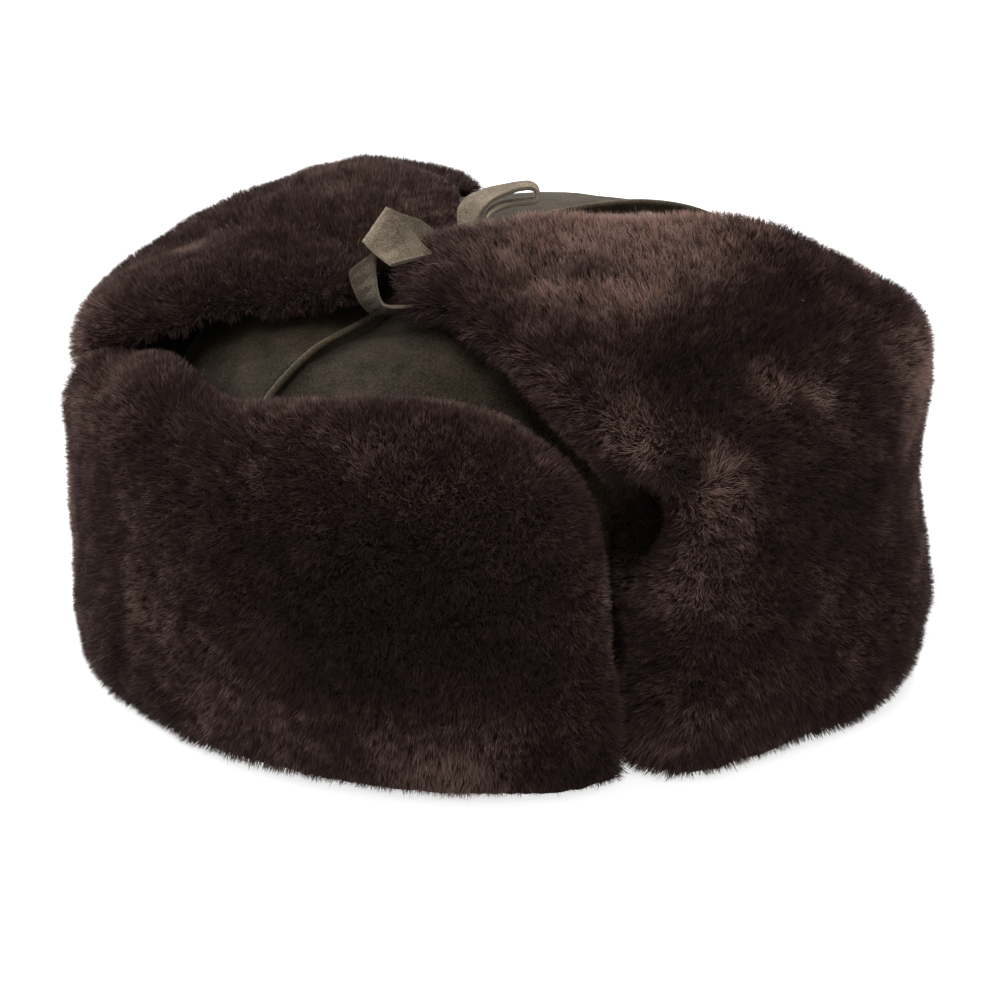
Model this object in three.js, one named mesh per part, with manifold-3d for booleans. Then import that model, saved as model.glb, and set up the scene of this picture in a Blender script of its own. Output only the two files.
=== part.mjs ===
// A sheepskin hat with turned-up flaps: a suede head shell of two panels with a welt in its centre seam, a front
// flap and a neck flap that stand against it, two ear flaps pulled up over its top, and their suede ties.
// Millimetres, +Z up, standing on z = 0. The front of the hat faces -Y and the wearer's left is +X.
import * as THREE from 'three';
import { mergeVertices } from 'three/addons/utils/BufferGeometryUtils.js';
import Module from 'manifold-3d';

// Head shell: an upright oval wall with a low dome on it
const SHELL = { halfWidth: 92, halfLength: 107, wallTop: 75, rise: 47, thickness: 2.5, hem: 8 };
const SHELL_STEPS = { round: 36, dome: 8 };
const SHELL_RINGS = [50, 28];
const SEAM_STEPS = { all: 40, wallShare: 0.32 };
const SEAM_GAP = 1.6;
const WELT = { headWidth: 3.2, headHeight: 1.6, stemWidth: 1, clearance: 0.3, room: 0.4 };

// Fur flaps: the oval that their outer faces reach, and the sizes that they share
const FUR = { halfWidth: 127, halfLength: 131, shift: -2 };
const GAP = 0.7;
const END_GAP = 1.3;
const FLOOR_INSET = 0.955;
const ROLL = { height: 14, scale: 0.985 };
const LIP = { halfWidth: 85, halfLength: 100, top: 7.6, nose: 3 };
const SHOULDER_START = 66;
const SHOULDER_ROUND = 0.86;
const BOW_EARLY = 0.7;
const INNER_BOW = 0.5;
const LOCK_HEIGHT = 0.9;
const LOCK_LIFT = 1.6;
const LOW_TURN_START = 0.6;
const SAME_HEIGHT = 0.01;
const UNDERSIDE = [0.12, 0.55];
const INNER_START = { highest: 0.8, ofEnd: 0.7 };
const SHORTEST_TURN = 0.5;

// Ties: flat suede strips
const TIE = { thickness: 1.2, stepsPerRow: 3 };
const KNOT = { x: 3.2, y: -21, z: 125.7, halfWidth: 3.4, halfLength: 4, halfHeight: 2.6, round: 12, rings: 8 };

// Mesh density along a flap and round its section
const STEPS = { stationsPerFlap: 26, wall: 7, shoulder: 9, edge: 3, innerShoulder: 7, innerWall: 3 };

const TOP_INDEX = 5 + STEPS.wall + STEPS.shoulder;

const SUEDE = { color: 0x3c362c, roughness: 0.95, metalness: 0 };
const FUR_PILE = { color: 0x33221f, roughness: 0.9, metalness: 0 };
const TIE_SUEDE = { color: 0x695f50, roughness: 0.92, metalness: 0 };

// Stations of the wearer's left ear flap, from its front edge round to its rear edge.
// foot and wall: angles from the front, in degrees, where it stands and where its side starts to turn inwards
// x, y: where its top ends over the head; bow: how far the way there swings forward; crest: greatest height;
// drop: how far the end lies below that; edge: thickness of the end; round: its shoulder's shape, which is boxy
// below 1 and falls away above 1; full: share of the pad's thickness, less at both side edges, which are rounded
const LEFT_EAR = [
  { foot: 66, wall: 64, x: 17, y: -54, bow: 8, crest: 117, drop: 2, edge: 4, round: 0.86, full: 0.3 },
  { foot: 67.5, wall: 65, x: 14, y: -51, bow: 10, crest: 121, drop: 2, edge: 9, round: 0.86, full: 0.72 },
  { foot: 71, wall: 68, x: 9, y: -46, bow: 8, crest: 127, drop: 2, edge: 12, round: 0.86, full: 1 },
  { foot: 78, wall: 75, x: 8, y: -36, bow: 4, crest: 130, drop: 2, edge: 13, round: 0.86, full: 1 },
  { foot: 86, wall: 85, x: 15, y: -20, bow: 1, crest: 131, drop: 1, edge: 13, round: 0.86, full: 1 },
  { foot: 93, wall: 95, x: 25, y: -7, bow: 0, crest: 131, drop: 0, edge: 13, round: 0.86, full: 1 },
  { foot: 99, wall: 105, x: 37, y: 6, bow: 0, crest: 131, drop: 0, edge: 13, round: 0.86, full: 1 },
  { foot: 104, wall: 114, x: 50, y: 27, bow: 0, crest: 130, drop: 0, edge: 14, round: 0.86, full: 1 },
  { foot: 109, wall: 121, x: 61, y: 43, bow: 0, crest: 124, drop: 0, edge: 15, round: 0.86, full: 0.98 },
  { foot: 113, wall: 126, x: 72, y: 55, bow: 0, crest: 115, drop: 0, edge: 15, round: 0.86, full: 0.96 },
  { foot: 116, wall: 129.5, x: 81, y: 64, bow: 0, crest: 108, drop: 0, edge: 13, round: 0.86, full: 0.92 },
  { foot: 117.5, wall: 131.5, x: 85, y: 72, bow: 0, crest: 104, drop: 0, edge: 10, round: 0.86, full: 0.72 },
  { foot: 118.5, wall: 132.5, x: 87, y: 78, bow: 0, crest: 99, drop: 0, edge: 4, round: 0.86, full: 0.3 },
];

// The wearer's right ear flap, front to rear, whose front edge swings further forward, over the front flap
const RIGHT_EAR = [
  { foot: -66, wall: -64, x: -5, y: -64, bow: 43, crest: 113, drop: 0, edge: 4, round: 1.6, full: 0.3 },
  { foot: -67.5, wall: -65, x: -5, y: -60, bow: 43, crest: 118, drop: 1, edge: 9, round: 1.45, full: 0.72 },
  { foot: -71, wall: -68, x: -3, y: -54, bow: 40, crest: 123, drop: 3, edge: 12, round: 1.15, full: 1 },
  { foot: -78, wall: -75, x: -2, y: -44, bow: 31, crest: 127, drop: 4, edge: 13, round: 0.95, full: 1 },
  { foot: -86, wall: -84, x: -4, y: -31, bow: 17, crest: 129, drop: 5, edge: 13, round: 0.86, full: 1 },
  { foot: -93, wall: -94, x: -10, y: -16, bow: 6, crest: 131, drop: 5, edge: 13, round: 0.86, full: 1 },
  { foot: -99, wall: -104, x: -24, y: 1, bow: 0, crest: 129, drop: 4, edge: 13, round: 0.86, full: 1 },
  { foot: -104, wall: -113, x: -46, y: 22, bow: 0, crest: 120, drop: 2, edge: 13, round: 0.86, full: 1 },
  { foot: -109, wall: -121, x: -64, y: 42, bow: 0, crest: 111, drop: 0, edge: 13, round: 0.86, full: 0.98 },
  { foot: -113, wall: -126, x: -76, y: 55, bow: 0, crest: 104, drop: 0, edge: 13, round: 0.86, full: 0.96 },
  { foot: -116, wall: -129.5, x: -84, y: 64, bow: 0, crest: 98, drop: 0, edge: 12, round: 0.86, full: 0.92 },
  { foot: -117.5, wall: -131.5, x: -87, y: 72, bow: 0, crest: 94, drop: 0, edge: 10, round: 0.86, full: 0.72 },
  { foot: -118.5, wall: -132.5, x: -89, y: 78, bow: 0, crest: 89, drop: 0, edge: 4, round: 0.86, full: 0.3 },
];

// Flaps that only stand against the shell. wall is where the top of the station is, reach how far its top's
// inner side lies out from the shell, as a scale of the shell's oval
const FRONT = [
  { foot: -63.5, wall: -61, reach: 1.06, crest: 58, edge: 6, full: 0.3 },
  { foot: -62, wall: -60, reach: 1.06, crest: 63, edge: 12, full: 0.72 },
  { foot: -57, wall: -55, reach: 1.05, crest: 67, edge: 16, full: 1 },
  { foot: -45, wall: -44, reach: 1.04, crest: 80, edge: 17, full: 1 },
  { foot: -31, wall: -30, reach: 1.03, crest: 96, edge: 18, full: 1 },
  { foot: -18, wall: -18, reach: 1.03, crest: 100, edge: 18, full: 1 },
  { foot: -4, wall: -4, reach: 1.03, crest: 98, edge: 17, full: 1 },
  { foot: 11, wall: 11, reach: 1.03, crest: 104, edge: 18, full: 1 },
  { foot: 25, wall: 25, reach: 1.03, crest: 108, edge: 18, full: 1 },
  { foot: 37, wall: 37, reach: 1.03, crest: 109, edge: 18, full: 1 },
  { foot: 46, wall: 46, reach: 1.04, crest: 105, edge: 17, full: 1 },
  { foot: 54, wall: 53, reach: 1.05, crest: 96, edge: 16, full: 1 },
  { foot: 62, wall: 59.5, reach: 1.06, crest: 84, edge: 12, full: 0.78 },
  { foot: 63.5, wall: 61, reach: 1.06, crest: 74, edge: 6, full: 0.35 },
];

const NECK = [
  { foot: 121, wall: 135.5, reach: 1.06, crest: 80, edge: 6, full: 0.3 },
  { foot: 122.5, wall: 137, reach: 1.05, crest: 86, edge: 12, full: 0.72 },
  { foot: 128, wall: 141, reach: 1.04, crest: 90, edge: 15, full: 1 },
  { foot: 145, wall: 152, reach: 1.03, crest: 93, edge: 16, full: 1 },
  { foot: 165, wall: 168, reach: 1.03, crest: 92, edge: 16, full: 1 },
  { foot: 180, wall: 180, reach: 1.03, crest: 91, edge: 16, full: 1 },
  { foot: 195, wall: 192, reach: 1.03, crest: 92, edge: 16, full: 1 },
  { foot: 215, wall: 208, reach: 1.03, crest: 90, edge: 16, full: 1 },
  { foot: 232, wall: 219, reach: 1.04, crest: 86, edge: 15, full: 1 },
  { foot: 237.5, wall: 223, reach: 1.05, crest: 82, edge: 12, full: 0.72 },
  { foot: 239, wall: 224.5, reach: 1.06, crest: 80, edge: 6, full: 0.3 },
];

// Dents and swellings of the fur: a centre, the distance over which each fades, and its depth (minus is a dent)
const DENTS = [
  { name: 'notch beside the front flap', x: 103, y: -52, z: 79, fade: 9, depth: -12 },
  { name: 'crease behind the notch', x: 112, y: -28, z: 74, fade: 12, depth: -4 },
  { name: 'crease, rear part', x: 122, y: 4, z: 66, fade: 15, depth: -3 },
  { name: 'swelling over the crease', x: 110, y: -28, z: 98, fade: 20, depth: 4 },
  { name: 'pinch of the left rear corner', x: 92, y: 82, z: 46, fade: 18, depth: -9 },
  { name: 'pinch of the neck', x: 0, y: 131, z: 44, fade: 30, depth: -3 },
  { name: 'pinch of the right rear corner', x: -92, y: 82, z: 46, fade: 18, depth: -9 },
  { name: 'hollow in the front flap', x: -6, y: -134, z: 92, fade: 14, depth: -3 },
  { name: 'swelling of the front flap', x: 45, y: -122, z: 60, fade: 34, depth: 2 },
];

// The ties: rows along each strap, with its two edges a and b. The left one comes out from under the left flap's
// tip and curls up; the right one comes from the knot and folds over to the front; the bow rises behind the knot,
// loops round and ends in a curl
const TIE_LEFT = [
  { ax: 15.9, ay: -55.7, az: 115.4, bx: 19.4, by: -59.5, bz: 118.7 },
  { ax: 11.4, ay: -60, az: 114.5, bx: 15.1, by: -62.7, bz: 118.1 },
  { ax: 7.3, ay: -63.5, az: 114.1, bx: 12, by: -64, bz: 118.5 },
  { ax: 3.5, ay: -65, az: 116.8, bx: 9, by: -63.1, bz: 121.1 },
  { ax: -1.3, ay: -63.8, az: 120.6, bx: 3.3, by: -58.5, bz: 124.4 },
  { ax: -4.1, ay: -61.9, az: 123.3, bx: -1.3, by: -54, bz: 128 },
];
const TIE_RIGHT = [
  { ax: 3.2, ay: -25.6, az: 127.1, bx: 4.8, by: -28.4, bz: 124.8 },
  { ax: -0.2, ay: -29.9, az: 127, bx: 3.2, by: -36.6, bz: 122 },
  { ax: -2.7, ay: -35.4, az: 132.3, bx: 2.2, by: -44.1, bz: 124.6 },
  { ax: -5, ay: -41.8, az: 135.7, bx: -1.7, by: -52.1, bz: 128 },
  { ax: -5.4, ay: -45.4, az: 138, bx: -3.3, by: -56.7, bz: 130.9 },
  { ax: -2.4, ay: -47, az: 138, bx: -0.4, by: -58.3, bz: 130.9 },
  { ax: 4.9, ay: -46.6, az: 134, bx: 4.7, by: -58.8, bz: 129.3 },
  { ax: 13.9, ay: -46.6, az: 129.1, bx: 10.7, by: -59.5, bz: 128.4 },
];
const TIE_BOW = [
  { ax: -5.8, ay: -17.2, az: 125.4, bx: 0.9, by: -16.9, bz: 126.4 },
  { ax: -9.4, ay: -13.7, az: 128.5, bx: -0.1, by: -13.9, bz: 129.3 },
  { ax: -9.7, ay: -9.3, az: 131.2, bx: 0, by: -10.8, bz: 131.7 },
  { ax: -8.5, ay: -3.6, az: 132.4, bx: -0.5, by: -6.2, bz: 132.6 },
  { ax: -7, ay: 1.9, az: 132.7, bx: 0.1, by: -2.2, bz: 133.1 },
  { ax: -5.2, ay: 6.8, az: 132.8, bx: 0.7, by: 1.6, bz: 133.4 },
  { ax: -3.4, ay: 10, az: 132.5, bx: 2.1, by: 4.5, bz: 133.3 },
  { ax: -1.4, ay: 11, az: 130.9, bx: 4, by: 5.6, bz: 132 },
  { ax: -0.7, ay: 8.9, az: 128.8, bx: 4.7, by: 3.5, bz: 129.9 },
  { ax: -2.3, ay: 5.9, az: 128.8, bx: 2.6, by: 0.6, bz: 129.7 },
  { ax: -3.8, ay: 2.1, az: 128.9, bx: 1.4, by: -3.6, bz: 129.9 },
  { ax: -3.5, ay: -2.8, az: 129.1, bx: 2, by: -8.2, bz: 130.1 },
  { ax: -2.1, ay: -7.5, az: 129.1, bx: 3.1, by: -12.6, bz: 129.8 },
  { ax: -0.5, ay: -11.1, az: 128.2, bx: 4.3, by: -15, bz: 128.9 },
];

const radians = THREE.MathUtils.degToRad;
const lerp = THREE.MathUtils.lerp;

function oval(halfWidth, halfLength, degrees, scale = 1) {
  const angle = radians(degrees);
  return new THREE.Vector2(halfWidth * scale * Math.sin(angle), -halfLength * scale * Math.cos(angle));
}

// Height of the head shell's outer face over a plan point, or its wall top outside the oval
function shellHeight(x, y) {
  const share = (x / SHELL.halfWidth) ** 2 + (y / SHELL.halfLength) ** 2;
  return SHELL.wallTop + SHELL.rise * Math.sqrt(Math.max(0, 1 - share));
}

// Moves a point that is nearer to the head shell than the gap out to that gap
function clearOfShell(point, gap) {
  const wide = SHELL.halfWidth + gap;
  const long = SHELL.halfLength + gap;
  const high = SHELL.rise + gap;
  const up = Math.max(0, point.z - SHELL.wallTop);
  const share = Math.hypot(point.x / wide, point.y / long, up / high);
  if (share >= 1) {
    return point;
  }
  const grow = 1 / share;
  return new THREE.Vector3(point.x * grow, point.y * grow, point.z + up * (grow - 1));
}

// Smooth values between the rows of a table, at a place from 0 to rows.length - 1
function between(rows, place) {
  const index = Math.min(Math.floor(place), rows.length - 2);
  const t = place - index;
  const row = {};
  for (const key of Object.keys(rows[0])) {
    const before = rows[Math.max(index - 1, 0)][key];
    const from = rows[index][key];
    const to = rows[index + 1][key];
    const after = rows[Math.min(index + 2, rows.length - 1)][key];
    const slopeFrom = (to - before) / 2;
    const slopeTo = (after - from) / 2;
    const t2 = t * t;
    const t3 = t2 * t;
    row[key] = from * (2 * t3 - 3 * t2 + 1) + slopeFrom * (t3 - 2 * t2 + t) + to * (3 * t2 - 2 * t3)
      + slopeTo * (t3 - t2);
  }
  return row;
}

// How far the fur swells or dents at a point
function dentAt(point) {
  let depth = 0;
  for (const dent of DENTS) {
    const distance = Math.hypot(point.x - dent.x, point.y - dent.y, point.z - dent.z);
    depth += dent.depth * Math.exp(-((distance / dent.fade) ** 2) / 2);
  }
  return depth;
}

// The closed outline of a flap at one station, from the floor round its fur face to its inner side and lip
function section(row, station) {
  const top = row.x === undefined
    ? oval(SHELL.halfWidth, SHELL.halfLength, row.wall, row.reach)
    : new THREE.Vector2(row.x, row.y);
  const turnStart = Math.min(SHOULDER_START, row.crest * LOW_TURN_START);
  const bow = row.bow ?? 0;
  const drop = row.drop ?? 0;
  const round = row.round ?? SHOULDER_ROUND;
  const angleAt = (z) => lerp(row.foot, row.wall, THREE.MathUtils.smoothstep(z, 0, turnStart));
  const furAt = (z, scale) => {
    const inside = oval(SHELL.halfWidth + GAP, SHELL.halfLength + GAP, angleAt(z));
    const outside = oval(FUR.halfWidth, FUR.halfLength, angleAt(z), scale);
    outside.y += FUR.shift;
    return inside.lerp(outside, row.full);
  };
  const wayTo = (from, share, swing) => {
    const quarter = -Math.PI / 2 * Math.sign(from.x);
    const back = top.clone().sub(from).normalize().rotateAround(new THREE.Vector2(), quarter);
    return from.clone().lerp(top, share).addScaledVector(back, -swing * Math.sin(Math.PI * share ** BOW_EARLY));
  };
  const points = [];
  const fur = [];
  const add = (plan, z, isFur) => {
    points.push(new THREE.Vector3(plan.x, plan.y, z));
    fur.push(isFur);
  };

  const lipOuter = oval(LIP.halfWidth, LIP.halfLength, row.foot);
  const foot = furAt(0, FLOOR_INSET);
  for (const share of UNDERSIDE) {
    add(lipOuter.clone().lerp(foot, share), 0, false);
  }
  for (let step = 0; step <= 2; step += 1) {
    const angle = (step / 3) * Math.PI / 2;
    const scale = lerp(FLOOR_INSET, ROLL.scale, Math.sin(angle));
    const z = ROLL.height * (1 - Math.cos(angle));
    add(furAt(z, scale), z, false);
  }
  for (let step = 0; step < STEPS.wall; step += 1) {
    const z = lerp(ROLL.height, turnStart, step / STEPS.wall);
    add(furAt(z, lerp(ROLL.scale, 1, Math.sin((step / STEPS.wall) * Math.PI / 2))), z, true);
  }
  const side = furAt(turnStart, 1);
  for (let step = 0; step <= STEPS.shoulder; step += 1) {
    const angle = (step / STEPS.shoulder) * Math.PI / 2;
    const inwards = 1 - Math.cos(angle) ** round;
    const upwards = Math.sin(angle) ** round;
    const z = lerp(turnStart, row.crest, upwards) - drop * THREE.MathUtils.smoothstep(inwards, 0.4, 1);
    add(wayTo(side, inwards, bow), z, step < STEPS.shoulder);
  }

  const overShell = shellHeight(top.x, top.y) + GAP;
  const topHeight = row.crest - drop;
  const underside = Math.max(overShell, topHeight - row.edge);
  const thickness = topHeight - underside;
  const onwards = top.clone().sub(side).normalize();
  for (let step = 1; step <= STEPS.edge; step += 1) {
    const angle = (step / (STEPS.edge + 1)) * Math.PI;
    const plan = top.clone().addScaledVector(onwards, Math.sin(angle) * thickness / 2);
    add(plan, underside + thickness * (1 + Math.cos(angle)) / 2, false);
  }

  const endShare = Math.min(1, Math.hypot(top.x / SHELL.halfWidth, top.y / SHELL.halfLength));
  const lowStart = Math.min(SHELL.wallTop * INNER_START.highest, underside * INNER_START.ofEnd);
  const innerStart = endShare < 1 ? SHELL.wallTop : lowStart;
  const innerSide = oval(SHELL.halfWidth + GAP, SHELL.halfLength + GAP, angleAt(innerStart));
  const endTurn = Math.max(Math.acos(endShare), SHORTEST_TURN);
  for (let step = STEPS.innerShoulder; step >= 1; step -= 1) {
    const turn = (step / STEPS.innerShoulder) * endTurn;
    const share = (1 - Math.cos(turn)) / (1 - Math.cos(endTurn));
    const plan = wayTo(innerSide, share, bow * INNER_BOW);
    const rise = Math.sin((step / STEPS.innerShoulder) * Math.PI / 2) ** round;
    const outside = Math.hypot(plan.x / SHELL.halfWidth, plan.y / SHELL.halfLength) > 1;
    const resting = outside ? 0 : shellHeight(plan.x, plan.y) + GAP;
    add(plan, Math.max(resting, lerp(innerStart, underside, rise)), false);
  }
  for (let step = STEPS.innerWall; step >= 0; step -= 1) {
    const z = lerp(LIP.top, innerStart, step / STEPS.innerWall);
    add(oval(SHELL.halfWidth + GAP, SHELL.halfLength + GAP, angleAt(z)), z, false);
  }
  add(lipOuter, LIP.top, false);
  add(lipOuter, LIP.nose, false);

  return points.map((point, index) => {
    let moved = point;
    if (fur[index]) {
      const lift = Math.max(0, point.z - SHOULDER_START) * LOCK_LIFT;
      const outward = new THREE.Vector3(point.x, point.y, lift).normalize();
      const lock = (index + station) % 2 === 0 ? LOCK_HEIGHT : -LOCK_HEIGHT;
      moved = point.clone().addScaledVector(outward, (dentAt(point) + lock) * row.full);
    }
    const isEnd = index > TOP_INDEX && index <= TOP_INDEX + STEPS.edge;
    return point.z > LIP.top + SAME_HEIGHT ? clearOfShell(moved, isEnd ? END_GAP : GAP) : moved;
  });
}

// A closed skin through outlines with the same number of points, capped at both ends; turnIndex is the point
// where each outline turns back
function loft(outlines, turnIndex) {
  const count = outlines[0].length;
  const positions = [];
  const faces = [];
  for (const outline of outlines) {
    for (const point of outline) {
      positions.push(point.x, point.y, point.z);
    }
  }
  for (let station = 0; station < outlines.length - 1; station += 1) {
    for (let index = 0; index < count; index += 1) {
      const a = station * count + index;
      const b = station * count + (index + 1) % count;
      if ((station + index) % 2 === 0) {
        faces.push(a, b, a + count, b, b + count, a + count);
      } else {
        faces.push(a, b, b + count, a, b + count, a + count);
      }
    }
  }
  const last = outlines.length - 1;
  for (const [a, b, c] of capFaces(outlines[0], turnIndex)) {
    faces.push(c, b, a);
  }
  for (const corners of capFaces(outlines[last], turnIndex)) {
    faces.push(...corners.map((corner) => corner + last * count));
  }
  const geometry = new THREE.BufferGeometry();
  geometry.setAttribute('position', new THREE.Float32BufferAttribute(positions, 3));
  geometry.setIndex(faces);
  return facingOut(geometry);
}

// Triangles over one outline: its two sides, from the start and from the end, are zipped up to the turn
function capFaces(outline, turnIndex) {
  const faces = [];
  let up = 0;
  let down = outline.length - 1;
  while (up < turnIndex || down > turnIndex + 1) {
    const stepUp = up < turnIndex ? outline[up + 1].distanceTo(outline[down]) : Infinity;
    const stepDown = down > turnIndex + 1 ? outline[down - 1].distanceTo(outline[up]) : Infinity;
    if (stepUp <= stepDown) {
      faces.push([up, up + 1, down]);
      up += 1;
    } else {
      faces.push([up, down - 1, down]);
      down -= 1;
    }
  }
  return faces;
}

// Six times the volume that a mesh encloses, minus where its faces point in
function signedVolume(geometry) {
  const position = geometry.getAttribute('position');
  const index = geometry.getIndex();
  const [a, b, c] = [new THREE.Vector3(), new THREE.Vector3(), new THREE.Vector3()];
  let volume = 0;
  for (let corner = 0; corner < index.count; corner += 3) {
    a.fromBufferAttribute(position, index.getX(corner));
    b.fromBufferAttribute(position, index.getX(corner + 1));
    c.fromBufferAttribute(position, index.getX(corner + 2));
    volume += a.dot(b.cross(c));
  }
  return volume;
}

function facingOut(geometry) {
  if (signedVolume(geometry) < 0) {
    const index = geometry.getIndex();
    for (let corner = 0; corner < index.count; corner += 3) {
      const second = index.getX(corner + 1);
      index.setX(corner + 1, index.getX(corner + 2));
      index.setX(corner + 2, second);
    }
  }
  geometry.computeVertexNormals();
  return geometry;
}

function flap(rows) {
  const outlines = [];
  for (let station = 0; station < STEPS.stationsPerFlap; station += 1) {
    const place = (station / (STEPS.stationsPerFlap - 1)) * (rows.length - 1);
    outlines.push(section(between(rows, place), station));
  }
  return loft(outlines, TOP_INDEX);
}

const manifoldLibrary = await Module();
manifoldLibrary.setup();

function toSolid(geometry) {
  const bare = geometry.clone();
  bare.deleteAttribute('normal');
  bare.deleteAttribute('uv');
  const merged = mergeVertices(bare, 1e-4);
  return new manifoldLibrary.Manifold(new manifoldLibrary.Mesh({
    numProp: 3,
    vertProperties: new Float32Array(merged.getAttribute('position').array),
    triVerts: new Uint32Array(merged.getIndex().array),
  }));
}

function fromSolid(solid) {
  const mesh = solid.getMesh();
  const geometry = new THREE.BufferGeometry();
  geometry.setAttribute('position', new THREE.Float32BufferAttribute(mesh.vertProperties, 3));
  geometry.setIndex([...mesh.triVerts]);
  geometry.computeVertexNormals();
  return geometry;
}

// The head shell before it is cut into its two panels
function headShell() {
  const outer = [];
  const inner = [];
  for (let step = 0; step <= SHELL_STEPS.dome; step += 1) {
    const angle = (step / SHELL_STEPS.dome) * Math.PI / 2;
    outer.push([Math.sin(angle), SHELL.wallTop + SHELL.rise * Math.cos(angle)]);
    inner.unshift([
      Math.sin(angle) * (1 - SHELL.thickness / SHELL.halfWidth),
      SHELL.wallTop + (SHELL.rise - SHELL.thickness) * Math.cos(angle),
    ]);
  }
  for (const z of [...SHELL_RINGS, SHELL.hem]) {
    outer.push([1, z]);
    inner.unshift([1 - SHELL.thickness / SHELL.halfWidth, z]);
  }
  const profile = [...outer, ...inner].map(([radius, z]) => new THREE.Vector2(radius, z));
  profile[0].x = 0;
  profile[profile.length - 1].x = 0;
  const geometry = new THREE.LatheGeometry(profile, SHELL_STEPS.round);
  geometry.rotateX(Math.PI / 2);
  geometry.scale(SHELL.halfWidth, SHELL.halfLength, 1);
  return facingOut(mergeVertices(stripped(geometry), 1e-4));
}

function stripped(geometry) {
  geometry.deleteAttribute('normal');
  geometry.deleteAttribute('uv');
  return geometry;
}

function crownPanel(sideSign) {
  const reach = 2 * SHELL.halfLength;
  const keep = new THREE.BoxGeometry(reach, 2 * reach, 2 * reach);
  keep.translate(sideSign * (reach / 2 + SEAM_GAP / 2), 0, 0);
  return fromSolid(toSolid(headShell()).intersect(toSolid(keep)));
}

// A strip of the given section along the centre seam, from the front hem over the top to the rear hem
function alongSeam(corners, turnIndex, hem = SHELL.hem) {
  const outlines = [];
  const { all, wallShare } = SEAM_STEPS;
  for (let step = 0; step <= all; step += 1) {
    const turn = lerp(-1, 1, step / all);
    let place;
    let out;
    if (Math.abs(turn) > 1 - wallShare) {
      const z = lerp(SHELL.wallTop, hem, (Math.abs(turn) - 1 + wallShare) / wallShare);
      place = new THREE.Vector3(0, Math.sign(turn) * SHELL.halfLength, z);
      out = new THREE.Vector3(0, Math.sign(turn), 0);
    } else {
      const angle = (turn / (1 - wallShare)) * Math.PI / 2;
      place = new THREE.Vector3(0, SHELL.halfLength * Math.sin(angle), SHELL.wallTop + SHELL.rise * Math.cos(angle));
      out = new THREE.Vector3(0, Math.sin(angle) / SHELL.halfLength, Math.cos(angle) / SHELL.rise).normalize();
    }
    outlines.push(corners.map(([across, height]) => place.clone().addScaledVector(out, height).setX(across)));
  }
  return loft(outlines, turnIndex);
}

// The welt: a strip on edge in the seam, with a rounded head that stands above both panels
function crownWelt() {
  const inside = -SHELL.thickness;
  const seat = WELT.clearance;
  const halfStem = WELT.stemWidth / 2;
  const halfHead = WELT.headWidth / 2;
  const brow = seat + WELT.headHeight * 0.7;
  const right = [[halfStem, inside], [halfStem, seat], [halfHead, seat], [halfHead * 0.85, brow]];
  const left = right.map(([across, height]) => [-across, height]).reverse();
  return alongSeam([...right, [0, seat + WELT.headHeight], ...left], right.length);
}

// A flap with a channel where it crosses the welt
function clearOfWelt(geometry) {
  const half = WELT.headWidth / 2 + WELT.room;
  const high = WELT.clearance + WELT.headHeight + WELT.room;
  const corners = [[half, -1], [half, high], [-half, high], [-half, -1]];
  const channel = alongSeam(corners, 1, SHELL.hem - WELT.room);
  return fromSolid(toSolid(geometry).subtract(toSolid(channel)));
}

// A flap that gives way to the one that lies over its front corner
function makingRoom(geometry, over) {
  const above = toSolid(over);
  const shifted = above.translate([GAP, -GAP, -GAP]);
  return fromSolid(toSolid(geometry).subtract(above).subtract(shifted));
}

// A flat strap through rows that give its two edges, folded and curled as they say
function strap(rows) {
  const outlines = [];
  const steps = (rows.length - 1) * TIE.stepsPerRow;
  const edgesAt = (step) => {
    const row = between(rows, step / TIE.stepsPerRow);
    return [new THREE.Vector3(row.ax, row.ay, row.az), new THREE.Vector3(row.bx, row.by, row.bz)];
  };
  for (let step = 0; step <= steps; step += 1) {
    const [a, b] = edgesAt(step);
    const before = edgesAt(Math.max(step - 0.5, 0));
    const after = edgesAt(Math.min(step + 0.5, steps));
    const along = after[0].add(after[1]).sub(before[0]).sub(before[1]);
    const lift = b.clone().sub(a).cross(along).normalize().multiplyScalar(TIE.thickness / 2);
    outlines.push([a.clone().add(lift), b.clone().add(lift), b.clone().sub(lift), a.clone().sub(lift)]);
  }
  return loft(outlines, 1);
}

function knot() {
  const geometry = new THREE.SphereGeometry(1, KNOT.round, KNOT.rings);
  geometry.scale(KNOT.halfWidth, KNOT.halfLength, KNOT.halfHeight);
  geometry.translate(KNOT.x, KNOT.y, KNOT.z);
  return facingOut(mergeVertices(stripped(geometry), 1e-4));
}

// Places each geometry as a named piece
function piece(name, geometry, material) {
  const mesh = new THREE.Mesh(geometry, new THREE.MeshStandardMaterial(material));
  mesh.name = name;
  return mesh;
}

const hat = new THREE.Group();
hat.add(piece('crown_left', crownPanel(1), SUEDE));
hat.add(piece('crown_right', crownPanel(-1), SUEDE));
hat.add(piece('crown_welt', crownWelt(), SUEDE));
hat.add(piece('front_flap', makingRoom(clearOfWelt(flap(FRONT)), flap(RIGHT_EAR)), FUR_PILE));
hat.add(piece('ear_flap_left', flap(LEFT_EAR), FUR_PILE));
hat.add(piece('ear_flap_right', clearOfWelt(flap(RIGHT_EAR)), FUR_PILE));
hat.add(piece('neck_flap', clearOfWelt(flap(NECK)), FUR_PILE));
hat.add(piece('tie_left', strap(TIE_LEFT), TIE_SUEDE));
hat.add(piece('tie_right', strap(TIE_RIGHT), TIE_SUEDE));
hat.add(piece('tie_bow', strap(TIE_BOW), TIE_SUEDE));
hat.add(piece('tie_knot', knot(), TIE_SUEDE));

// The origin stands in the middle of the hat's box, on the floor
const box = new THREE.Box3().setFromObject(hat);
const middle = box.getCenter(new THREE.Vector3());
for (const mesh of hat.children) {
  mesh.geometry.translate(-middle.x, -middle.y, -box.min.z);
}

export default hat;
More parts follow.
